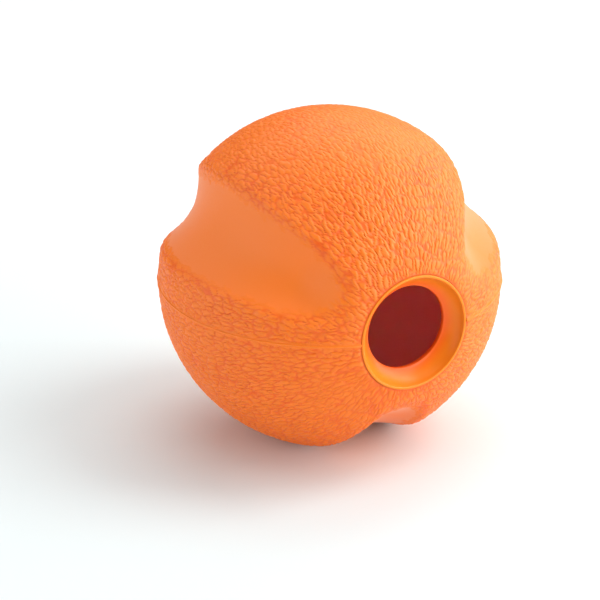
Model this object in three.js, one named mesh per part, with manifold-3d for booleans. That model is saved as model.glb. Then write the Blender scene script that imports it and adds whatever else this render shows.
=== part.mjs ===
// Treat ball: a hollow soft ball with three long flutes and one funnel mouth.
// Millimetres and degrees, +Z up, the mouth faces -Y, the origin is on the floor below the ball's centre.
// Two shell halves close round a mouth insert, and a bead of cement fills the seam between them.

import * as THREE from 'three';
import { mergeVertices } from 'three/addons/utils/BufferGeometryUtils.js';
import Module from 'manifold-3d';

const wasm = await Module();
wasm.setup();

// Ball
const BALL_DIAMETER = 127;
const WALL = 4.5;

// Flutes: angles across are seen along the mouth axis, angles along are measured from that axis
const FLUTE_COUNT = 3;
const FLUTE_DEPTH = 7;
const FLUTE_HOLLOW = 32;
const FLUTE_EDGE = 3.5;
const FLUTE_RUN_OUT = 24;
const MOUTH_LAND = 0.5;

// Mouth insert, from the throat outwards: funnel, rim, neck and the flange behind the wall
const THROAT_DIAMETER = 31.6;
const FUNNEL_WIDTH = 5.05;
const FUNNEL_DEPTH = 6.3;
const FUNNEL_SAG = 0.6;
const RIM_FLAT = 0.5;
const RIM_ROUNDING = 0.3;
const RIM_PROUD = 0.05;
const HEAD_THICKNESS = 2;
const HEAD_OVERHANG = 1;
const FLANGE_OVERHANG = 2.5;
const FLANGE_THICKNESS = 2.4;
const LIP_THICKNESS = 1.6;
const LIP_RELIEF = 2;

// Seam: a tongue on the lower half, a groove in the upper half and a bead of cement outside them
const TONGUE_WIDTH = 1.2;
const TONGUE_HEIGHT = 1.5;
const BEAD_WIDTH = 0.8;
const BEAD_DEPTH = 0.7;
const BEAD_PROUD = 0.45;

// Gap that the cement fills between curved faces of neighbouring pieces
const GLUE_GAP = 0.3;

// Facets
const OUTER_STEP = 7.5;
const INNER_STEP = 10;
const FINE_SHARE = 0.7;
const MOUTH_SEGMENTS = 40;
const SEAM_SEGMENTS = 64;
const CURVE_STEPS = 4;

// Worked-out sizes, with places along the mouth axis measured from the ball's centre
const ballRadius = BALL_DIAMETER / 2;
const chamberRadius = ballRadius - WALL;
const throatRadius = THROAT_DIAMETER / 2;
const funnelRadius = throatRadius + FUNNEL_WIDTH;
const headRadius = funnelRadius + RIM_FLAT + 2 * RIM_ROUNDING;
const neckRadius = headRadius - HEAD_OVERHANG;
const flangeRadius = neckRadius + FLANGE_OVERHANG;
const crownAt = heightOnBall(ballRadius, headRadius) + RIM_PROUD;
const seatAt = crownAt - HEAD_THICKNESS;
const lipAt = crownAt - FUNNEL_DEPTH;
const flangeBackAt = heightOnBall(chamberRadius, flangeRadius) - GLUE_GAP - FLANGE_THICKNESS;
const fluteSpread = FLUTE_HOLLOW + 2 * FLUTE_EDGE;
const fluteStart = THREE.MathUtils.radToDeg(Math.asin(flangeRadius / chamberRadius)) + MOUTH_LAND;
const beadFloor = ballRadius - BEAD_DEPTH - GLUE_GAP;
const tongueMiddle = (chamberRadius + beadFloor) / 2;
const tongueInner = tongueMiddle - TONGUE_WIDTH / 2;
const tongueOuter = tongueMiddle + TONGUE_WIDTH / 2;

// Height above the centre plane at which a ball of this radius is this wide
function heightOnBall(radius, acrossRadius) {
  return Math.sqrt(radius ** 2 - acrossRadius ** 2);
}

// Depth of a flute across its width: a concave arc that turns into a convex edge, as a share of 0 to 1
function fluteHollow(share) {
  const turn = FLUTE_HOLLOW / fluteSpread;
  if (share < turn) {
    return 1 - share ** 2 / turn;
  }
  return (1 - share) ** 2 / (1 - turn);
}

// How far the outer surface lies below the plain ball at a polar angle and an angle round the mouth axis
function fluteDepth(polar, around) {
  const pitch = 360 / FLUTE_COUNT;
  const fromCentre = Math.abs(THREE.MathUtils.euclideanModulo(around, pitch) - pitch / 2);
  const across = Math.min(fromCentre / (fluteSpread / 2), 1);
  const fromPole = Math.min(polar, 180 - polar);
  const along = THREE.MathUtils.smoothstep(fromPole, fluteStart, fluteStart + FLUTE_RUN_OUT);
  return FLUTE_DEPTH * along * fluteHollow(across);
}

// Angles from the first mark to the last, with even steps between neighbouring marks
function anglesBetween(marks, step) {
  const angles = [];
  for (let i = 0; i + 1 < marks.length; i += 1) {
    const parts = Math.ceil((marks[i + 1] - marks[i]) / step);
    for (let k = 0; k < parts; k += 1) {
      angles.push(THREE.MathUtils.lerp(marks[i], marks[i + 1], k / parts));
    }
  }
  return angles;
}

// Polar angles of the rows of facets, without the two poles
function rowAngles(step) {
  const deep = fluteStart + FLUTE_RUN_OUT;
  const fine = step * FINE_SHARE;
  return [
    ...anglesBetween([0, fluteStart], step).slice(1),
    ...anglesBetween([fluteStart, deep], fine),
    ...anglesBetween([deep, 90, 180 - deep], step),
    ...anglesBetween([180 - deep, 180 - fluteStart], fine),
    ...anglesBetween([180 - fluteStart, 180], step),
  ];
}

// Angles round the mouth axis of the columns of facets, closer together on the flutes' edges
function columnAngles(step) {
  const pitch = 360 / FLUTE_COUNT;
  const hollow = FLUTE_HOLLOW / 2;
  const spread = fluteSpread / 2;
  const angles = [];
  for (let flute = 0; flute < FLUTE_COUNT; flute += 1) {
    const centre = (flute + 0.5) * pitch;
    const marks = [centre - spread, centre - hollow, centre, centre + hollow, centre + spread];
    angles.push(...anglesBetween(marks, step * FINE_SHARE));
    angles.push(...anglesBetween([centre + spread, centre + pitch - spread], step));
  }
  return angles;
}

function pointOnBall(radius, polar, around) {
  const p = THREE.MathUtils.degToRad(polar);
  const a = THREE.MathUtils.degToRad(around);
  return [
    radius * Math.sin(p) * Math.sin(a),
    -radius * Math.cos(p),
    radius * Math.sin(p) * Math.cos(a),
  ];
}

// Closed fluted surface at a depth below the outside of the ball
function flutedSurface(below, step) {
  const rows = rowAngles(step);
  const columns = columnAngles(step);
  const positions = [];
  const index = [];
  const radius = ballRadius - below;
  for (const polar of rows) {
    for (const around of columns) {
      positions.push(...pointOnBall(radius - fluteDepth(polar, around), polar, around));
    }
  }
  const front = rows.length * columns.length;
  const back = front + 1;
  positions.push(0, -radius, 0, 0, radius, 0);
  const at = (row, column) => row * columns.length + (column % columns.length);
  for (let column = 0; column < columns.length; column += 1) {
    index.push(front, at(0, column + 1), at(0, column));
    index.push(back, at(rows.length - 1, column), at(rows.length - 1, column + 1));
    for (let row = 0; row + 1 < rows.length; row += 1) {
      index.push(at(row, column), at(row, column + 1), at(row + 1, column));
      index.push(at(row, column + 1), at(row + 1, column + 1), at(row + 1, column));
    }
  }
  const geometry = new THREE.BufferGeometry();
  geometry.setAttribute('position', new THREE.Float32BufferAttribute(positions, 3));
  geometry.setIndex(index);
  return geometry;
}

// Body turned about the mouth axis from a closed profile of (radius, place along the axis) points
function turnedAboutMouth(profile) {
  const points = profile.map(([radius, along]) => new THREE.Vector2(radius, -along));
  return new THREE.LatheGeometry([...points, points[0]], MOUTH_SEGMENTS);
}

// Ring turned about the vertical axis from a closed profile of (radius, height) points
function turnedAboutVertical(profile) {
  const points = profile.map(([radius, height]) => new THREE.Vector2(radius, height));
  return new THREE.LatheGeometry([...points, points[0]], SEAM_SEGMENTS).rotateX(Math.PI / 2);
}

// Solid for cutting and joining, from a closed surface with its faces pointing out
function solid(geometry) {
  const bare = geometry.clone();
  bare.deleteAttribute('normal');
  bare.deleteAttribute('uv');
  const merged = mergeVertices(bare);
  const corners = merged.index.array;
  const triangles = [];
  for (let i = 0; i < corners.length; i += 3) {
    const [a, b, c] = [corners[i], corners[i + 1], corners[i + 2]];
    if (a !== b && b !== c && c !== a) {
      triangles.push(a, b, c);
    }
  }
  const mesh = new wasm.Mesh({
    numProp: 3,
    vertProperties: merged.attributes.position.array,
    triVerts: new Uint32Array(triangles),
  });
  return new wasm.Manifold(mesh);
}

function surface(body) {
  const mesh = body.getMesh();
  const geometry = new THREE.BufferGeometry();
  geometry.setAttribute('position', new THREE.BufferAttribute(mesh.vertProperties, 3));
  geometry.setIndex(new THREE.BufferAttribute(mesh.triVerts, 1));
  geometry.computeVertexNormals();
  return geometry;
}

// Rectangle profile from its two radii and its two heights
function rectangle(inner, outer, low, high) {
  return [[inner, low], [outer, low], [outer, high], [inner, high]];
}

// Points of an arc about a centre, without its first point
function arcPoints(centre, radius, from, to) {
  const points = [];
  for (let i = 1; i <= CURVE_STEPS; i += 1) {
    const angle = THREE.MathUtils.degToRad(THREE.MathUtils.lerp(from, to, i / CURVE_STEPS));
    points.push([centre[0] + radius * Math.cos(angle), centre[1] + radius * Math.sin(angle)]);
  }
  return points;
}

// Points of a shallow curve that sags to the right of the way from start to end, without its two ends
function saggingPoints(start, end, sag) {
  const way = new THREE.Vector2(end[0] - start[0], end[1] - start[1]);
  const side = new THREE.Vector2(way.y, -way.x).normalize();
  const points = [];
  for (let i = 1; i < CURVE_STEPS; i += 1) {
    const share = i / CURVE_STEPS;
    const bulge = 4 * sag * share * (1 - share);
    points.push([start[0] + way.x * share + side.x * bulge, start[1] + way.y * share + side.y * bulge]);
  }
  return points;
}

// Half of the box space, above or below the seam plane
function halfSpace(side) {
  const size = 2 * BALL_DIAMETER;
  return solid(new THREE.BoxGeometry(size, size, size).translate(0, 0, side * size / 2));
}

// What the mouth insert's neck and head need cut out of the shell
function mouthSeat() {
  const outside = 2 * ballRadius;
  const bore = neckRadius + GLUE_GAP;
  const recess = headRadius + GLUE_GAP;
  return solid(turnedAboutMouth([
    [0, outside], [recess, outside], [recess, seatAt], [bore, seatAt], [bore, 0], [0, 0],
  ]));
}

// Groove that both halves leave for the cement bead
function beadGroove() {
  const side = BEAD_WIDTH / 2;
  return solid(turnedAboutVertical(rectangle(beadFloor, 2 * ballRadius, -side, side)));
}

function hollowBall() {
  return solid(flutedSurface(0, OUTER_STEP)).subtract(solid(flutedSurface(WALL, INNER_STEP)));
}

function upperShell() {
  const groove = rectangle(
    tongueInner - GLUE_GAP,
    tongueOuter + GLUE_GAP,
    -TONGUE_HEIGHT,
    TONGUE_HEIGHT + GLUE_GAP,
  );
  const half = hollowBall().intersect(halfSpace(1));
  return half.subtract(solid(turnedAboutVertical(groove))).subtract(beadGroove()).subtract(mouthSeat());
}

function lowerShell() {
  const tongue = rectangle(tongueInner, tongueOuter, -WALL / 2, TONGUE_HEIGHT);
  const half = hollowBall().intersect(halfSpace(-1));
  return half.add(solid(turnedAboutVertical(tongue))).subtract(beadGroove()).subtract(mouthSeat());
}

function seamBead() {
  const side = BEAD_WIDTH / 2;
  const inner = ballRadius - BEAD_DEPTH;
  const crown = ballRadius + BEAD_PROUD;
  const ring = [[inner, -side], [ballRadius, -side], [crown, -side / 2], [crown, side / 2],
    [ballRadius, side], [inner, side]];
  return solid(turnedAboutVertical(ring)).subtract(mouthSeat());
}

// Profile of the insert, from the rim over the head, neck and flange to the throat and back up the funnel
function mouthFunnel() {
  const roundAt = crownAt - RIM_ROUNDING;
  const rimOuter = headRadius - RIM_ROUNDING;
  const flangeFace = chamberRadius - GLUE_GAP;
  const flangeFrom = THREE.MathUtils.radToDeg(Math.acos(neckRadius / flangeFace));
  const flangeTo = THREE.MathUtils.radToDeg(Math.acos(flangeRadius / flangeFace));
  const profile = [
    [rimOuter, crownAt],
    ...arcPoints([rimOuter, roundAt], RIM_ROUNDING, 90, 0),
    [headRadius, seatAt],
    [neckRadius, seatAt],
    [neckRadius, heightOnBall(flangeFace, neckRadius)],
    ...arcPoints([0, 0], flangeFace, flangeFrom, flangeTo),
    [flangeRadius, flangeBackAt],
    [throatRadius + LIP_RELIEF, flangeBackAt],
    [throatRadius, lipAt - LIP_THICKNESS],
    [throatRadius, lipAt],
    ...saggingPoints([throatRadius, lipAt], [funnelRadius, roundAt], FUNNEL_SAG),
    [funnelRadius, roundAt],
    ...arcPoints([funnelRadius + RIM_ROUNDING, roundAt], RIM_ROUNDING, 180, 90),
  ];
  return solid(turnedAboutMouth(profile));
}

function soft(colour, roughness) {
  return new THREE.MeshStandardMaterial({ color: colour, roughness, metalness: 0 });
}

function part(name, body, material) {
  const mesh = new THREE.Mesh(surface(body), material);
  mesh.name = name;
  return mesh;
}

const lower = part('lower_shell', lowerShell(), soft(0xf07c34, 0.55));
const pieces = [
  part('upper_shell', upperShell(), soft(0xf27f36, 0.55)),
  lower,
  part('mouth_funnel', mouthFunnel(), soft(0xf58a2c, 0.45)),
  part('seam_bead', seamBead(), soft(0xe8742f, 0.5)),
];

// The ball stands on the two edges of its lowest flute
lower.geometry.computeBoundingBox();
const ball = new THREE.Group();
ball.position.z = -lower.geometry.boundingBox.min.z;
ball.add(...pieces);

const treatBall = new THREE.Group();
treatBall.name = 'treat_ball';
treatBall.add(ball);

export default treatBall;
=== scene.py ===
"""Treat ball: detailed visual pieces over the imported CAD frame, with floor, light and camera.

Constants are in millimetres and degrees unless a heading says otherwise; meshes are made in metres.
A place on the ball is given by its polar angle from the mouth axis (-Y) and its angle round that axis
from straight up, turning towards +X.
"""

import math

import bpy
import numpy as np
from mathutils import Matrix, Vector


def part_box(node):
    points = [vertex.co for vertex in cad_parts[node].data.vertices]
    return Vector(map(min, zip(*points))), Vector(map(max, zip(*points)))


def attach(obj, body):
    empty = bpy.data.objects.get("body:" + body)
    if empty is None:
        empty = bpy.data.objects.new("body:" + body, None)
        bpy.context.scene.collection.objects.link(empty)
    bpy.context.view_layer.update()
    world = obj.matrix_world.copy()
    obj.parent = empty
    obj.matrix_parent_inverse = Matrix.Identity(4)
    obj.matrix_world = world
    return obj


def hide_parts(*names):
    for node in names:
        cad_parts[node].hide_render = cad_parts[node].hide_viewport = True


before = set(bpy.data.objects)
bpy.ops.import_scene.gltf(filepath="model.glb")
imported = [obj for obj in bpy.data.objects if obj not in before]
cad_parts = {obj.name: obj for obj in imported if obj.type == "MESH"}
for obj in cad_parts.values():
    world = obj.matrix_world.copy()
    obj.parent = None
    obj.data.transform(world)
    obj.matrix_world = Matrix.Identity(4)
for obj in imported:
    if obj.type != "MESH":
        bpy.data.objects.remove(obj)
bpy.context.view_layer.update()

# Ball and flutes; the depth leaves room for the grain's valleys, at whose level the smooth fields lie
BALL_RADIUS = 63.5
WALL = 4.5
FLUTE_COUNT = 3
FLUTE_DEPTH = 6.6
FLUTE_HALF_SPREAD = 19.5
FLUTE_HALF_HOLLOW = 16.0
FLUTE_START = 23.92
FLUTE_RUN_OUT = 24.0

# Smooth field in each flute: long, with oval noses towards the mouth and the back; the least share keeps
# the distance from it from dividing by zero
FIELD_HALF_WIDTH = 14.7
FIELD_END = 32.0
FIELD_NOSE = 18.0
LEAST_SHARE = 0.01

# Mouth insert, with places along the mouth axis measured from the ball's centre
CROWN_AT = 59.6356
FLANGE_BACK_AT = 51.44
HEAD_DEPTH = 2.0
FUNNEL_DEPTH = 6.3
LIP_THICKNESS = 1.6
HEAD_RADIUS = 21.95
FUNNEL_RADIUS = 20.85
THROAT_RADIUS = 15.8
NECK_RADIUS = 20.95
FLANGE_RADIUS = 23.45
FUNNEL_SAG = 0.6
RIM_ROUNDING = 0.5
LIP_RELIEF = 2.0
LIP_ROUNDING = 0.7
LIP_ARC_DROP = 0.1

# Foot of the funnel wall on the lip, outward and forward, as shares of the lip's rounding
WALL_FOOT_OUT = 0.7
WALL_FOOT_FORWARD = 0.75

# Arcs of the insert's outline: first angle, last angle, number of points
RIM_OUTER_ARC = (90, 0, 9)
RIM_INNER_ARC = (180, 100, 8)
LIP_BACK_ARC = (240, 180, 4)
LIP_FRONT_ARC = (180, 125, 5)
FLANGE_POINTS = 6
FUNNEL_POINTS = 21
INSERT_TURNS = 192

# Painted light and shade of the insert: full on the bead of the rim as a painted highlight, and fading
# down the wall to painted shade at the lip, over shares of its height
BEAD_PAINTED_HIGHLIGHT = 1.0
BEAD_DEPTH = 0.2
WALL_SHADE = 0.45
WALL_SHADE_SPAN = (-0.1, 0.6)

# Fits between the visual pieces
JOINT_GAP = 0.06
RIM_GAP = 0.35
SEAM_GAP_OUTSIDE = 0.34
SEAM_GAP_INSIDE = 0.02

# Moulded grain: rice-shaped cells in rows round the mouth axis, which point a little beside the mouth
GRAIN_SEED = 7
GRAIN_AXIS = (-0.15, -1.0, -0.08)
GRAIN_LENGTH = 4.7
GRAIN_WIDTH = 1.75
GRAIN_HEIGHT = 0.45
GRAIN_RISE = 0.2
VALLEY_WIDTH = 1.4
FEWEST_CELLS = 5

# Unevenness of the cells: shifts as shares of a step, tilt in degrees, the rest as plain factors
SHIFT_AROUND = 0.34
SHIFT_ALONG = 0.5
TILT_SPREAD = 11
SLIMNESS = (2.4, 3.3)
SLIMMER_BY_MOUTH = 0.2
SLIMMER_SPAN = (45, 75)
TALLNESS = (0.75, 1.0)
TALLNESS_BY_FIELD = 0.5
FIELD_FADE = (0, 4)

# Wobble of the cells' borders: seed, size, wave length
WOBBLE_ASIDE = (21, 0.2, 2.6)
WOBBLE_AHEAD = (22, 0.3, 3.2)

# Irregular waves: how many are summed, and the spread of their lengths
WAVE_COUNT = 14
WAVE_SPREAD = (0.7, 1.4)

# Levels that the relief is drawn to at the rim, the seam and the top, as shares of the grain's height;
# the spans at the rim and the top are degrees
RIM_LEVEL = -0.35
RIM_FADE = 0.8
SEAM_LEVEL = 0.9
SEAM_BLEND = 0.8
SEAM_SPAN = (0.3, 1.3)
TOP_LEVEL = 0.6
TOP_BLEND = 0.45
TOP_SPAN = (20, 46)

# Shade of the smooth fields, and the distances from a field between which the grain's painted valley
# shade takes over
FIELD_SHADE = 0.8
FIELD_SHADE_SPAN = (-0.5, 2.5)

# Seam line: points of one flank as (aside, above the lands), its top, the length of its tapered ends in
# degrees, and its unevenness as seed, size and wave length
SEAM_FLANK = ((0.33, -0.9), (0.33, -0.12), (0.26, 0.08), (0.14, 0.26))
SEAM_TOP = 0.32
SEAM_TAPER = 3
SEAM_TURNS = 721
SEAM_WANDER = (31, 0.05, 9)
SEAM_SWELL = (32, 0.3, 7)
SEAM_SWELL_LIMIT = 0.45

# Mesh of the shell halves: steps, bands of polar angle that share their columns, numbers of columns,
# and the angles across each half where the columns change between fine for grain and wide for a field
ROW_STEP = 0.72
GRAIN_COLUMN_STEP = 0.39
SMOOTH_COLUMN_STEP = 1.1
MOUTH_COLUMNS = 311
MIDDLE_BANDS = ((40, 52), (52, 66), (66, 114), (114, 128), (128, 140))
BACK_BANDS = ((140, 311), (160, 191), (170, 97), (175, 49))
INSIDE_COLUMNS = 29
UPPER_MARKS = (-90, -73, -47, 47, 73, 90)
LOWER_MARKS = (-90, -13, 13, 90)

# Normals of the grain: step for its slopes, and how much steeper they are made
SLOPE_STEP = 0.12
SLOPE_GAIN = 1.25

# Rubber: shader amounts, the outside's value first where there are two for outside and inside
SCATTER_RADIUS = (1.0, 0.25, 0.1)
SCATTER_WEIGHT = (0.06, 0.65)
SCATTER_SCALE = (0.002, 0.008)
# A pale colour inside is painted light that brightens the dark chamber seen through the mouth
INSIDE_PAINTED_LIGHT = (0.985, 0.66, 0.64, 1)
NOISE_LOW = 0.3
NOISE_HIGH = 0.7
CREST_AT = 0.5
SPECKLE_POLISH = -0.05
SPECKLE_ROUGHNESS = 0.07
FIELD_ROUGHNESS = 0.08
BUMP_DISTANCE = 0.0001

# Floor and lights, in metres and watts: each light's name, turn to the right of the camera, elevation,
# width and power
FLOOR_HALF = 8
FLOOR_TONES = ((0.78, 0.855, 0.86, 1), (0.79, 0.865, 0.87, 1))
WORLD_STRENGTH = 0.05
LIGHT_DISTANCE = 1.4
LIGHTS = (
    ("right_front", 70, 28, 1.0, 7.1),
    ("right_low", 105, 18, 1.0, 10.6),
    ("right_high", 96, 53, 0.7, 6.6),
    ("right_back", 142, 20, 1.0, 4.4),
    ("behind", 175, 50, 1.4, 9.5),
    ("top", 0, 82, 1.2, 3.3),
    ("left_front", -55, 12, 1.0, 3.9),
    ("left", -78, 14, 1.0, 5.2),
    ("left_back", -110, 42, 1.2, 3.3),
    ("front_right", 45, 12, 0.8, 6.9),
)

# Camera: angles in radians, distance in ball radii, and the photograph's half width, the ball's radius
# and the offset of its centre from the middle in pixels
CAMERA_AZIMUTH = math.radians(-30.8)
CAMERA_ELEVATION = math.radians(23.5)
CAMERA_DISTANCE = 20
PHOTO_HALF = 300
PHOTO_BALL_RADIUS = 171.3
PHOTO_BALL_RIGHT = 29.46
PHOTO_BALL_UP = 24.57

# Sizes that follow from the ones above, and the height of the ball's centre from the frame
FLUTE_PITCH = 360 / FLUTE_COUNT
FLUTE_TURN = FLUTE_HALF_HOLLOW / FLUTE_HALF_SPREAD
SEAT_AT = CROWN_AT - HEAD_DEPTH
LIP_AT = CROWN_AT - FUNNEL_DEPTH
LIP_BACK_AT = LIP_AT - LIP_THICKNESS
MOUTH_EDGE = HEAD_RADIUS + RIM_GAP
MOUTH_EDGE_POLAR = math.degrees(math.asin(MOUTH_EDGE / BALL_RADIUS))
BORE_RADIUS = NECK_RADIUS + JOINT_GAP
CHAMBER_RADIUS = BALL_RADIUS - WALL
LANDS_RADIUS = BALL_RADIUS + GRAIN_RISE
SEAM_END_RADIUS = HEAD_RADIUS + JOINT_GAP
CENTRE_HEIGHT = sum(corner.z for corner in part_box("seam_bead")) / 2 * 1000
CENTRE = Vector((0, 0, CENTRE_HEIGHT / 1000))


def smoothstep(value, low, high):
    """Share of 0 to 1 that rises smoothly while the value goes from low to high."""
    share = np.clip((value - low) / (high - low), 0, 1)
    return share * share * (3 - 2 * share)


def on_ball(radius, polar, around):
    """Points at these places, measured from the ball's centre."""
    p, a = np.radians(polar), np.radians(around)
    return np.stack([
        radius * np.sin(p) * np.sin(a),
        -radius * np.cos(p) * np.ones_like(a),
        radius * np.sin(p) * np.cos(a),
    ], axis=-1)


def surface_directions(polar, around):
    """Unit vectors along the ball's surface at these places: away from the mouth, and round its axis."""
    p, a = np.radians(polar), np.radians(around)
    along = np.stack([np.cos(p) * np.sin(a), np.sin(p), np.cos(p) * np.cos(a)], axis=-1)
    across = np.stack([np.cos(a), np.zeros_like(a), -np.sin(a)], axis=-1)
    return along, across


def from_flute(polar, around):
    """Angles of these places from the middle line of the nearest flute and from the nearer pole."""
    from_middle = np.abs(np.mod(around, FLUTE_PITCH) - FLUTE_PITCH / 2)
    from_pole = np.minimum(polar, 180 - polar)
    return from_middle, from_pole


def flute_share(polar, around):
    """Depth of the flutes at these places, as a share of 0 to 1."""
    from_middle, from_pole = from_flute(polar, around)
    across = np.minimum(from_middle / FLUTE_HALF_SPREAD, 1)
    hollow = 1 - across**2 / FLUTE_TURN
    rounded = (1 - across) ** 2 / (1 - FLUTE_TURN)
    along = smoothstep(from_pole, FLUTE_START, FLUTE_START + FLUTE_RUN_OUT)
    return along * np.where(across < FLUTE_TURN, hollow, rounded)


def outside_field(polar, around):
    """Rough distance of these places from the flutes' smooth fields, below 0 inside them."""
    from_middle, from_pole = from_flute(polar, around)
    nose = BALL_RADIUS * math.radians(FIELD_NOSE)
    half_width = BALL_RADIUS * math.radians(FIELD_HALF_WIDTH) * np.sin(np.radians(polar))
    aside = from_middle / FIELD_HALF_WIDTH
    ahead = np.maximum(FIELD_END + FIELD_NOSE - from_pole, 0) / FIELD_NOSE
    share = np.maximum(np.hypot(aside, ahead), LEAST_SHARE)
    slope = np.maximum(np.hypot(aside / half_width, ahead / nose) / share, LEAST_SHARE)
    return (share - 1) / slope


def waves(points, seed, size, length):
    """Smooth irregular field of about this size: plane waves of near one length in random directions."""
    rng = np.random.default_rng(seed)
    ways = rng.normal(size=(WAVE_COUNT, 3))
    ways /= np.linalg.norm(ways, axis=1)[:, None]
    lengths = length * rng.uniform(*WAVE_SPREAD, WAVE_COUNT)
    phases = rng.uniform(0, 2 * math.pi, WAVE_COUNT)
    turns = points @ (ways * (2 * math.pi / lengths)[:, None]).T + phases
    return size * (np.sin(turns).sum(1) / math.sqrt(WAVE_COUNT / 2))


class Grain:
    """Rice-shaped cells in uneven rows round the mouth axis, with none in the flutes' smooth fields."""

    def __init__(self, seed):
        rng = np.random.default_rng(seed)
        self.rows = round(math.pi * BALL_RADIUS / GRAIN_LENGTH)
        self.step = 180 / self.rows
        counts, phases, polar, around = [], [], [], []
        for row in range(self.rows):
            middle = (row + 0.5) * self.step
            round_trip = 2 * math.pi * BALL_RADIUS * math.sin(math.radians(middle))
            count = max(FEWEST_CELLS, round(round_trip / GRAIN_WIDTH))
            phase = rng.uniform(0, 1)
            counts.append(count)
            phases.append(phase)
            shift = rng.uniform(-SHIFT_AROUND, SHIFT_AROUND, count)
            around.append((np.arange(count) + 0.5 + phase + shift) * 360 / count)
            polar.append(middle + rng.uniform(-SHIFT_ALONG, SHIFT_ALONG, count) * self.step)
        self.counts, self.phases = np.array(counts), np.array(phases)
        self.starts = np.concatenate([[0], np.cumsum(self.counts)[:-1]])
        self.polar, self.around = np.concatenate(polar), np.concatenate(around)
        total = len(self.polar)
        tilt = np.radians(rng.normal(0, TILT_SPREAD, total))
        self.tilt = tilt + self.lean(self.polar, self.around)
        by_mouth = 1 + SLIMMER_BY_MOUTH - SLIMMER_BY_MOUTH * smoothstep(self.polar, *SLIMMER_SPAN)
        self.slim = rng.uniform(*SLIMNESS, total) * by_mouth
        from_field = outside_field(self.polar, self.around)
        by_field = TALLNESS_BY_FIELD + (1 - TALLNESS_BY_FIELD) * smoothstep(from_field, *FIELD_FADE)
        self.tall = rng.uniform(*TALLNESS, total) * by_field
        self.stands = from_field > 0

    @staticmethod
    def lean(polar, around):
        """Angle at these places between the line to the mouth and the line to the grain's own axis."""
        axis = np.array(GRAIN_AXIS) / np.linalg.norm(GRAIN_AXIS)
        along, across = surface_directions(polar, around)
        ahead, aside = along @ axis, across @ axis
        way = np.where(ahead < 0, -1, 1)
        return np.arctan2(-aside * way, ahead * way)

    def height(self, polar, around):
        """Height of the grain at these places, from 0 in the valleys to 1, and where a cell stands.

        It rises with the difference between the distances to the nearest two cells.
        """
        points = on_ball(BALL_RADIUS, polar, around)
        sine = np.sin(np.radians(polar))
        aside = waves(points, *WOBBLE_ASIDE)
        ahead = waves(points, *WOBBLE_AHEAD)
        first_row = np.floor(polar / self.step).astype(int)
        nearest = np.full(len(polar), np.inf)
        second = np.full(len(polar), np.inf)
        tall = np.ones(len(polar))
        stands = np.ones(len(polar), bool)
        for row_offset in (-1, 0, 1):
            row = np.clip(first_row + row_offset, 0, self.rows - 1)
            count = self.counts[row]
            first = np.floor(np.mod(around, 360) / 360 * count - self.phases[row]).astype(int)
            for offset in (-2, -1, 0, 1, 2):
                cell = self.starts[row] + np.mod(first + offset, count)
                turn = np.mod(around - self.around[cell] + 180, 360) - 180
                across = BALL_RADIUS * sine * np.radians(turn) + aside
                along = BALL_RADIUS * np.radians(polar - self.polar[cell]) + ahead
                cos, sin = np.cos(self.tilt[cell]), np.sin(self.tilt[cell])
                cell_across = across * cos + along * sin
                cell_along = (along * cos - across * sin) / self.slim[cell]
                away = np.hypot(cell_across, cell_along)
                seen = (first_row + row_offset != row) | (away == nearest)
                closer = ~seen & (away < nearest)
                runner_up = np.where(closer, nearest, np.minimum(second, away))
                second = np.where(seen, second, runner_up)
                tall = np.where(closer, self.tall[cell], tall)
                stands = np.where(closer, self.stands[cell], stands)
                nearest = np.where(closer, away, nearest)
        rise = np.clip((second - nearest) / VALLEY_WIDTH, 0, 1)
        return (1 - (1 - rise) ** 2) * tall * stands, stands


grain = Grain(GRAIN_SEED)


def outer_surface(polar, around):
    """Radius, shade and smoothness of the outside at these places; it is smooth only in the fields."""
    height, stands = grain.height(polar, around)
    upward = np.sin(np.radians(polar)) * np.cos(np.radians(around))
    from_top = np.degrees(np.arccos(np.clip(upward, -1, 1)))
    height += (TOP_LEVEL - height) * TOP_BLEND * (1 - smoothstep(from_top, *TOP_SPAN)) * stands
    rim_end = MOUTH_EDGE_POLAR + RIM_FADE
    height += (RIM_LEVEL - height) * (1 - smoothstep(polar, MOUTH_EDGE_POLAR, rim_end))
    from_seam = BALL_RADIUS * np.abs(upward)
    height += (SEAM_LEVEL - height) * SEAM_BLEND * (1 - smoothstep(from_seam, *SEAM_SPAN))
    radius = LANDS_RADIUS - FLUTE_DEPTH * flute_share(polar, around) - GRAIN_HEIGHT * (1 - height)
    # The shade follows the grain's height, so the valleys and the groove at the rim get painted shade
    in_grain = smoothstep(outside_field(polar, around), *FIELD_SHADE_SPAN)
    shade = FIELD_SHADE + (np.maximum(height, 0) - FIELD_SHADE) * in_grain
    return radius, shade, 1.0 - stands


def outer_normals(radius, polar, around):
    """Normals of the outside at these places, from slopes that are finer than the mesh.

    The slopes are made steeper by the gain, because the mesh flattens the narrowest valleys.
    """
    step = math.degrees(SLOPE_STEP / BALL_RADIUS)
    sine = np.sin(np.radians(polar))
    slope_along = (outer_surface(polar + step, around)[0] - radius) / SLOPE_STEP
    slope_across = (outer_surface(polar, around + step / sine)[0] - radius) / SLOPE_STEP
    along, across = surface_directions(polar, around)
    outward = on_ball(1.0, polar, around)
    normals = outward - SLOPE_GAIN * (slope_along[:, None] * along + slope_across[:, None] * across)
    return normals / np.linalg.norm(normals, axis=1)[:, None]


def steps_between(marks, sizes):
    """Values from the first mark to the last, with even steps of about these sizes between the marks."""
    values = []
    for low, high, size in zip(marks, marks[1:], sizes):
        count = max(1, round((high - low) / size))
        values.extend(np.linspace(low, high, count, endpoint=False))
    return np.array([*values, marks[-1]])


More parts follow.
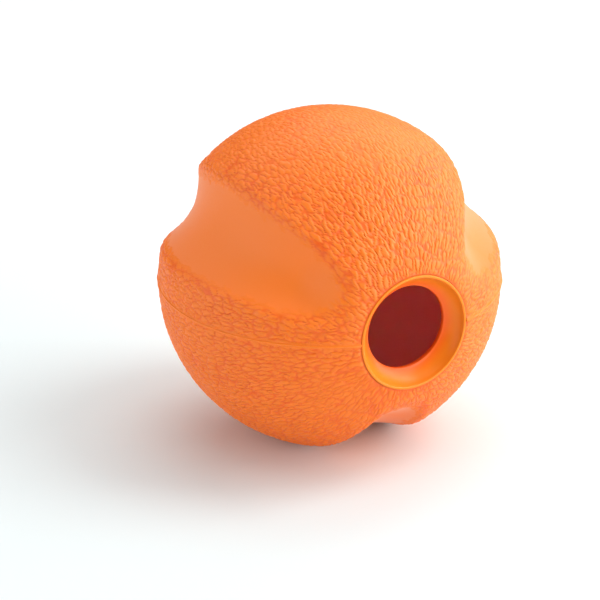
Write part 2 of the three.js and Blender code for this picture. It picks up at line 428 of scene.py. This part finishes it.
class Sheet:
    """Vertices and faces of a piece, made row by row."""

    def __init__(self):
        self.points, self.normals, self.faces, self.size = [], [], [], 0
        # The grain value is a painted shade level for the colour: the grain's height on the shell, a
        # painted highlight and shade on the insert
        self.values = {"grain": [], "smooth": [], "indoors": []}

    def row(self, points, shade=1.0, smooth=1.0, indoors=0.0, normals=None):
        """Adds a row of points with their values for the material, and gives the vertices' numbers."""
        points = np.atleast_2d(points)
        self.points.append(points)
        self.normals.append(np.zeros_like(points) if normals is None else normals)
        for label, value in (("grain", shade), ("smooth", smooth), ("indoors", indoors)):
            self.values[label].append(np.broadcast_to(value, len(points)))
        self.size += len(points)
        return np.arange(self.size - len(points), self.size)

    def join(self, upper, lower, upper_at=None, lower_at=None):
        """Faces between two rows; rows of unlike length also need their points' rising places."""
        if len(upper) == len(lower):
            quads = np.stack([upper[:-1], lower[:-1], lower[1:], upper[1:]], axis=1)
            self.faces.extend(quads.tolist())
            return
        i, j = 0, 0
        while i + 1 < len(upper) or j + 1 < len(lower):
            lower_done = j + 1 == len(lower)
            if lower_done or (i + 1 < len(upper) and upper_at[i + 1] <= lower_at[j + 1]):
                self.faces.append([int(upper[i]), int(lower[j]), int(upper[i + 1])])
                i += 1
            else:
                self.faces.append([int(upper[i]), int(lower[j]), int(lower[j + 1])])
                j += 1

    def join_stack(self, stack):
        """Faces between all neighbours in a list of rows with their points' places."""
        for (upper, upper_at), (lower, lower_at) in zip(stack, stack[1:]):
            self.join(upper, lower, upper_at, lower_at)

    def join_rings(self, rings):
        """Faces between all neighbours in a list of rows that close on themselves."""
        closed = [np.append(ring, ring[0]) for ring in rings]
        for upper, lower in zip(closed, closed[1:]):
            self.join(upper, lower)

    def piece(self, name, node, material):
        """Makes the object, with nothing below the floor, puts it on the root body and hides the CAD
        node that it replaces.
        """
        points = np.concatenate(self.points)
        points[:, 2] = np.maximum(points[:, 2] + CENTRE_HEIGHT, 0)
        mesh = bpy.data.meshes.new(name)
        mesh.from_pydata((points / 1000).tolist(), [], self.faces)
        mesh.validate()
        for label, values in self.values.items():
            attribute = mesh.attributes.new(label, "FLOAT", "POINT")
            attribute.data.foreach_set("value", np.concatenate(values).astype(np.float32))
        mesh.shade_smooth()
        normals = np.concatenate(self.normals)
        if normals.any():
            mesh.normals_split_custom_set_from_vertices(normals.tolist())
        mesh.materials.append(material)
        made = bpy.data.objects.new(name, mesh)
        bpy.context.scene.collection.objects.link(made)
        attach(made, "root")
        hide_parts(node)


def half_turn(radius, gap):
    """Half the angle that a half ring of this radius covers, ending a gap short of the seam plane."""
    return np.degrees(np.arccos(np.clip(gap / radius, -1, 1)))


def back_polar(radius, gap):
    """Polar angle of the point at the back where a half shell's rows end, a gap off the seam plane."""
    return 180 - math.degrees(math.asin(gap / radius))


def column_bands(marks, sizes):
    """Bands of the outside: polar limits, and the columns' places from -1 to 1 across the half.

    In the middle bands the columns have the given sizes between the marks where the band is widest.
    """
    bands = [(MOUTH_EDGE_POLAR, MIDDLE_BANDS[0][0], np.linspace(-1, 1, MOUTH_COLUMNS))]
    for low, high in MIDDLE_BANDS:
        widest = math.sin(math.radians(min(90, high) if low < 90 else low))
        columns = steps_between(marks, [size / widest for size in sizes]) / marks[-1]
        bands.append((low, high, columns))
    starts = [low for low, _ in BACK_BANDS]
    back = back_polar(BALL_RADIUS, SEAM_GAP_OUTSIDE)
    for (low, count), high in zip(BACK_BANDS, [*starts[1:], back]):
        bands.append((low, high, np.linspace(-1, 1, count)))
    return bands


def outer_rows(sheet, middle, bands):
    """Rows of a half's outside from the mouth to the back, and the rows' polar angles."""
    row_step = math.degrees(ROW_STEP / BALL_RADIUS)
    stack, polars = [], []
    for low, high, columns in bands:
        for polar in steps_between([low, high], [row_step])[:-1]:
            spread = half_turn(BALL_RADIUS * math.sin(math.radians(polar)), SEAM_GAP_OUTSIDE)
            around = middle + columns * spread
            polar_row = np.full(len(columns), polar)
            radius, shade, smooth = outer_surface(polar_row, around)
            normals = outer_normals(radius, polar_row, around)
            row = sheet.row(on_ball(radius, polar, around), shade, smooth, normals=normals)
            stack.append((row, columns))
            polars.append(polar)
    back = back_polar(BALL_RADIUS, SEAM_GAP_OUTSIDE)
    tip = sheet.row(on_ball(BALL_RADIUS, back, np.array([middle])))
    stack.append((tip, np.array([0.0])))
    return stack, polars


def inner_rows(sheet, middle, polars):
    """Rows of a half's inside from the bore to the back, at these polar angles."""
    columns = np.linspace(-1, 1, INSIDE_COLUMNS)
    stack = []
    for polar in polars:
        spread = half_turn(CHAMBER_RADIUS * math.sin(math.radians(polar)), SEAM_GAP_INSIDE)
        around = middle + columns * spread
        radius = CHAMBER_RADIUS - FLUTE_DEPTH * flute_share(np.full(len(columns), polar), around)
        row = sheet.row(on_ball(radius, polar, around), smooth=0.0, indoors=1.0)
        stack.append((row, columns))
    back = back_polar(CHAMBER_RADIUS, SEAM_GAP_INSIDE)
    tip = sheet.row(on_ball(CHAMBER_RADIUS, back, np.array([middle])), smooth=0.0, indoors=1.0)
    stack.append((tip, np.array([0.0])))
    return stack


def seat_row(sheet, middle, radius, gap):
    """Row of this radius on the flat seat of the mouth insert."""
    columns = np.linspace(-1, 1, MOUTH_COLUMNS)
    around = np.radians(middle + columns * half_turn(radius, gap))
    depth = np.full(len(columns), -SEAT_AT)
    ring = np.stack([radius * np.sin(around), depth, radius * np.cos(around)], axis=1)
    return sheet.row(ring), columns


def shell_half(name, node, middle, marks, sizes, material):
    """One half of the shell, closed, with its flutes, grain, mouth seat and seam faces."""
    sheet = Sheet()
    outside, polars = outer_rows(sheet, middle, column_bands(marks, sizes))
    bore_polar = math.degrees(math.asin(BORE_RADIUS / CHAMBER_RADIUS))
    inside = inner_rows(sheet, middle, [bore_polar, *polars[1:]])
    seat_outside = seat_row(sheet, middle, MOUTH_EDGE, SEAM_GAP_OUTSIDE)
    seat_inside = seat_row(sheet, middle, BORE_RADIUS, SEAM_GAP_INSIDE)
    mouth = [outside[0], seat_outside, seat_inside, inside[0]]
    sheet.join_stack(outside[::-1])
    sheet.join_stack(inside)
    sheet.join_stack(mouth)

    for side in (0, -1):
        outer = [int(row[side]) for row, _ in outside]
        inner = [int(row[side]) for row, _ in inside]
        faces = [[int(row[side]) for row, _ in mouth]]
        for corners in zip(outer, outer[1:], inner[1:], inner):
            faces.append(list(corners))
        sheet.faces.extend(face[::-1] if side else face for face in faces)
    sheet.piece(name, node, material)


def seam_line(material):
    """The raised line of cement round the ball, slightly uneven, open at the mouth."""
    sheet = Sheet()
    profile = [
        *[(-wide, high) for wide, high in SEAM_FLANK],
        (0, SEAM_TOP),
        *SEAM_FLANK[::-1],
    ]
    start = math.degrees(math.asin(SEAM_END_RADIUS / (LANDS_RADIUS + SEAM_TOP)))
    turns = np.linspace(start, 360 - start, SEAM_TURNS)
    middle_line = on_ball(BALL_RADIUS, turns, np.full(len(turns), 90.0))
    aside = waves(middle_line, *SEAM_WANDER)
    tall = 1 + np.clip(waves(middle_line, *SEAM_SWELL), -SEAM_SWELL_LIMIT, SEAM_SWELL_LIMIT)
    tall *= smoothstep(np.minimum(turns, 360 - turns), start, start + SEAM_TAPER)
    rings = []
    for turn, shift, height in zip(turns, aside, tall):
        ring = []
        for wide, high in profile:
            proud = high > 0
            radius = LANDS_RADIUS + (high * height if proud else high)
            least = math.degrees(math.asin(SEAM_END_RADIUS / radius))
            place = on_ball(radius, min(max(turn, least), 360 - least), 90.0)
            ring.append(place + np.array([0, 0, wide + shift if proud else wide]))
        rings.append(sheet.row(np.array(ring)))
    sheet.join_rings(rings)
    sheet.faces.append(rings[0].tolist())
    sheet.faces.append(rings[-1][::-1].tolist())
    sheet.piece("seam_line", "seam_bead", material)


def arc(centre, radius, start, end, count):
    """Points of an arc, both ends among them."""
    angles = np.radians(np.linspace(start, end, count))
    return [(centre[0] + radius * math.cos(a), centre[1] + radius * math.sin(a)) for a in angles]


def funnel_wall(low, top):
    """Points of the funnel wall from its foot to just below its top, with its sag deepest half way."""
    way = top - low
    side = np.array([way[1], -way[0]]) / np.linalg.norm(way)
    return [
        tuple(low + way * share + side * 4 * FUNNEL_SAG * share * (1 - share))
        for share in np.linspace(0, 1, FUNNEL_POINTS, endpoint=False)
    ]


def mouth_insert(material):
    """The smooth insert: rounded rim, hollow funnel wall, throat lip, neck, and flange inside."""
    sheet = Sheet()
    round_at = CROWN_AT - RIM_ROUNDING
    lip_radius = THROAT_RADIUS + LIP_ROUNDING
    flange_face = CHAMBER_RADIUS - JOINT_GAP
    flange_from = math.degrees(math.acos(NECK_RADIUS / flange_face))
    flange_to = math.degrees(math.acos(FLANGE_RADIUS / flange_face))
    wall_top = np.array([FUNNEL_RADIUS, round_at])
    wall_foot = np.array([
        THROAT_RADIUS + LIP_ROUNDING * WALL_FOOT_OUT,
        LIP_AT + LIP_ROUNDING * WALL_FOOT_FORWARD,
    ])
    profile = np.array([
        *arc((HEAD_RADIUS - RIM_ROUNDING, round_at), RIM_ROUNDING, *RIM_OUTER_ARC),
        (HEAD_RADIUS, SEAT_AT),
        (NECK_RADIUS, SEAT_AT),
        *arc((0, 0), flange_face, flange_from, flange_to, FLANGE_POINTS),
        (FLANGE_RADIUS, FLANGE_BACK_AT),
        (THROAT_RADIUS + LIP_RELIEF, FLANGE_BACK_AT),
        *arc((lip_radius, LIP_BACK_AT + LIP_ROUNDING), LIP_ROUNDING, *LIP_BACK_ARC),
        *arc((lip_radius, LIP_AT - LIP_ARC_DROP), LIP_ROUNDING, *LIP_FRONT_ARC),
        *funnel_wall(wall_foot, wall_top),
        *arc((FUNNEL_RADIUS + RIM_ROUNDING, round_at), RIM_ROUNDING, *RIM_INNER_ARC),
    ])
    out, forward = profile[:, 0], profile[:, 1]
    # The insert's colour is painted: a painted highlight on the rim's bead, and painted shade darkening
    # the funnel wall towards the lip
    up_wall = (forward - LIP_AT) / (round_at - LIP_AT)
    wall_shade = WALL_SHADE * smoothstep(up_wall, *WALL_SHADE_SPAN)
    shade = np.where(forward > round_at - BEAD_DEPTH, BEAD_PAINTED_HIGHLIGHT, wall_shade)
    rings = []
    for turn in np.radians(np.linspace(0, 360, INSERT_TURNS, endpoint=False)):
        ring = np.stack([out * math.sin(turn), -forward, out * math.cos(turn)], axis=1)
        rings.append(sheet.row(ring, shade))
    sheet.join_rings([*rings, rings[0]])
    sheet.piece("mouth_insert", "mouth_funnel", material)


def add(nodes, kind, **settings):
    """Adds a shader node; each setting is one of its properties or the value of one of its inputs."""
    node = nodes.new(kind)
    for key, value in settings.items():
        if hasattr(node, key):
            setattr(node, key, value)
        else:
            node.inputs[key.replace("_", " ")].default_value = value
    return node


def noise_range(nodes, low, high):
    """Node that spreads the middle of a noise over the values from low to high."""
    return add(
        nodes, "ShaderNodeMapRange",
        From_Min=NOISE_LOW, From_Max=NOISE_HIGH, To_Min=low, To_Max=high,
    )


def colour_rubber(nodes, links, place, painted_shade_tone, crest, clouding):
    """Clouded colour from the painted shade tone to the crest's by shade, so low places are painted
    darker; indoors a pale colour is painted light, and the rubber is more translucent.
    """
    shader = nodes["Principled BSDF"]
    clouds = add(nodes, "ShaderNodeTexNoise", Scale=70.0, Detail=3.0, Roughness=0.55)
    links.new(place.outputs["Object"], clouds.inputs["Vector"])
    shade = add(nodes, "ShaderNodeAttribute", attribute_name="grain")
    spread = noise_range(nodes, -clouding, clouding)
    links.new(clouds.outputs["Fac"], spread.inputs["Value"])
    level = add(nodes, "ShaderNodeMath", operation="ADD", use_clamp=True)
    links.new(shade.outputs["Fac"], level.inputs[0])
    links.new(spread.outputs["Result"], level.inputs[1])
    ramp = add(nodes, "ShaderNodeValToRGB")
    ramp.color_ramp.elements[0].position = 0.0
    ramp.color_ramp.elements[0].color = (*painted_shade_tone, 1)
    ramp.color_ramp.elements[1].position = CREST_AT
    ramp.color_ramp.elements[1].color = (*crest, 1)
    links.new(level.outputs["Value"], ramp.inputs["Fac"])

    indoors = add(nodes, "ShaderNodeAttribute", attribute_name="indoors")
    mixed = add(nodes, "ShaderNodeMix", data_type="RGBA")
    links.new(indoors.outputs["Fac"], mixed.inputs["Factor"])
    links.new(ramp.outputs["Color"], mixed.inputs["A"])
    mixed.inputs["B"].default_value = INSIDE_PAINTED_LIGHT
    links.new(mixed.outputs["Result"], shader.inputs["Base Color"])
    shader.inputs["Subsurface Radius"].default_value = SCATTER_RADIUS
    for socket, values in (("Subsurface Weight", SCATTER_WEIGHT), ("Subsurface Scale", SCATTER_SCALE)):
        soft = add(nodes, "ShaderNodeMapRange", To_Min=values[0], To_Max=values[1])
        links.new(indoors.outputs["Fac"], soft.inputs["Value"])
        links.new(soft.outputs["Result"], shader.inputs[socket])


def finish_rubber(nodes, links, place, roughness, speckling, bloom):
    """Satin skin with a fine speckle; smooth places are a little rougher and have a pale bloom."""
    shader = nodes["Principled BSDF"]
    speckle = add(nodes, "ShaderNodeTexNoise", Scale=1400.0, Detail=2.0, Roughness=0.6)
    links.new(place.outputs["Object"], speckle.inputs["Vector"])
    rough = noise_range(nodes, roughness + SPECKLE_POLISH, roughness + SPECKLE_ROUGHNESS)
    links.new(speckle.outputs["Fac"], rough.inputs["Value"])
    smooth = add(nodes, "ShaderNodeAttribute", attribute_name="smooth")
    rougher = add(nodes, "ShaderNodeMath", operation="MULTIPLY_ADD")
    links.new(smooth.outputs["Fac"], rougher.inputs[0])
    rougher.inputs[1].default_value = FIELD_ROUGHNESS
    links.new(rough.outputs["Result"], rougher.inputs[2])
    links.new(rougher.outputs["Value"], shader.inputs["Roughness"])
    sheen = add(nodes, "ShaderNodeMapRange", To_Max=bloom)
    links.new(smooth.outputs["Fac"], sheen.inputs["Value"])
    links.new(sheen.outputs["Result"], shader.inputs["Sheen Weight"])
    bump = add(nodes, "ShaderNodeBump", Strength=speckling, Distance=BUMP_DISTANCE)
    links.new(speckle.outputs["Fac"], bump.inputs["Height"])
    links.new(bump.outputs["Normal"], shader.inputs["Normal"])


def rubber(name, painted_shade_tone, crest, clouding, roughness, index, speckling, bloom):
    """Soft satin rubber with light scattered under its skin."""
    material = bpy.data.materials.new(name)
    material.use_nodes = True
    nodes, links = material.node_tree.nodes, material.node_tree.links
    nodes["Principled BSDF"].inputs["IOR"].default_value = index
    place = add(nodes, "ShaderNodeTexCoord")
    colour_rubber(nodes, links, place, painted_shade_tone, crest, clouding)
    finish_rubber(nodes, links, place, roughness, speckling, bloom)
    return material


def paper():
    """Matt pale paper with a faint change of tone."""
    material = bpy.data.materials.new("paper")
    material.use_nodes = True
    nodes, links = material.node_tree.nodes, material.node_tree.links
    shader = nodes["Principled BSDF"]
    shader.inputs["Roughness"].default_value = 0.9
    shader.inputs["Specular IOR Level"].default_value = 0.1
    tone = add(nodes, "ShaderNodeTexNoise", Scale=3.0)
    ramp = add(nodes, "ShaderNodeValToRGB")
    for element, colour in zip(ramp.color_ramp.elements, FLOOR_TONES):
        element.color = colour
    links.new(tone.outputs["Fac"], ramp.inputs["Fac"])
    links.new(ramp.outputs["Color"], shader.inputs["Base Color"])
    return material


def paper_floor():
    """The floor, which is not part of the ball."""
    corners = [(x * FLOOR_HALF, y * FLOOR_HALF, 0) for x, y in ((-1, -1), (1, -1), (1, 1), (-1, 1))]
    mesh = bpy.data.meshes.new("floor")
    mesh.from_pydata(corners, [], [(0, 1, 2, 3)])
    mesh.materials.append(paper())
    floor = bpy.data.objects.new("floor", mesh)
    bpy.context.scene.collection.objects.link(floor)


def direction(azimuth, elevation):
    """Unit vector away from the ball, with the azimuth turning from -Y towards +X."""
    return Vector((
        math.sin(azimuth) * math.cos(elevation),
        -math.cos(azimuth) * math.cos(elevation),
        math.sin(elevation),
    ))


def softbox(name, turn, elevation, size, power):
    """Round soft light that points at the ball's centre, turned to the right of the camera."""
    out = direction(CAMERA_AZIMUTH + math.radians(turn), math.radians(elevation))
    data = bpy.data.lights.new(name, "AREA")
    data.shape = "DISK"
    data.size = size
    data.energy = power
    light = bpy.data.objects.new(name, data)
    light.location = CENTRE + out * LIGHT_DISTANCE
    light.rotation_mode = "QUATERNION"
    light.rotation_quaternion = out.to_track_quat("Z", "Y")
    bpy.context.scene.collection.objects.link(light)


def studio():
    """Pale floor, and soft lights all round that are strongest on the right and behind."""
    paper_floor()
    world = bpy.data.worlds.new("studio")
    world.use_nodes = True
    background = world.node_tree.nodes["Background"]
    background.inputs["Color"].default_value = (1.0, 1.0, 1.0, 1)
    background.inputs["Strength"].default_value = WORLD_STRENGTH
    bpy.context.scene.world = world
    for light in LIGHTS:
        softbox(*light)
    bpy.context.scene.view_settings.view_transform = "Standard"


def photo_camera():
    """Camera at the photograph's angle, with the ball a little right of and above the middle."""
    distance = CAMERA_DISTANCE * BALL_RADIUS / 1000
    half_view = PHOTO_HALF / PHOTO_BALL_RADIUS / math.sqrt(CAMERA_DISTANCE**2 - 1)
    pixel = distance * half_view / PHOTO_HALF
    back = direction(CAMERA_AZIMUTH, CAMERA_ELEVATION)
    right = Vector((math.cos(CAMERA_AZIMUTH), math.sin(CAMERA_AZIMUTH), 0))
    up = back.cross(right)
    target = CENTRE - right * PHOTO_BALL_RIGHT * pixel - up * PHOTO_BALL_UP * pixel
    data = bpy.data.cameras.new("camera")
    data.angle = 2 * math.atan(half_view)
    data.clip_start = 0.05
    data.clip_end = 50
    camera = bpy.data.objects.new("camera", data)
    camera.location = CENTRE + back * distance
    camera.rotation_mode = "QUATERNION"
    camera.rotation_quaternion = (target - camera.location).to_track_quat("-Z", "Y")
    bpy.context.scene.collection.objects.link(camera)
    bpy.context.scene.camera = camera


# The first tone of each rubber is painted shade, for the grain's valleys, the groove at the rim and the
# funnel wall near the lip
shell_rubber = rubber(
    "shell_rubber", painted_shade_tone=(0.89, 0.114, 0.002), crest=(0.98, 0.197, 0.006),
    clouding=0.13, roughness=0.5, index=1.48, speckling=0.25, bloom=0.25,
)
funnel_rubber = rubber(
    "funnel_rubber", painted_shade_tone=(0.97, 0.105, 0.003), crest=(1.0, 0.25, 0.009),
    clouding=0.03, roughness=0.25, index=1.38, speckling=0.12, bloom=0.03,
)
seam_rubber = rubber(
    "seam_rubber", painted_shade_tone=(0.95, 0.185, 0.005), crest=(1.0, 0.22, 0.008),
    clouding=0.16, roughness=0.4, index=1.48, speckling=0.2, bloom=0.0,
)

grain_step = math.degrees(GRAIN_COLUMN_STEP / BALL_RADIUS)
smooth_step = math.degrees(SMOOTH_COLUMN_STEP / BALL_RADIUS)
shell_half(
    "shell_upper", "upper_shell", 0.0,
    UPPER_MARKS,
    [grain_step, smooth_step, grain_step, smooth_step, grain_step],
    shell_rubber,
)
shell_half(
    "shell_lower", "lower_shell", 180.0,
    LOWER_MARKS,
    [grain_step, smooth_step, grain_step],
    shell_rubber,
)
mouth_insert(funnel_rubber)
seam_line(seam_rubber)
studio()
photo_camera()
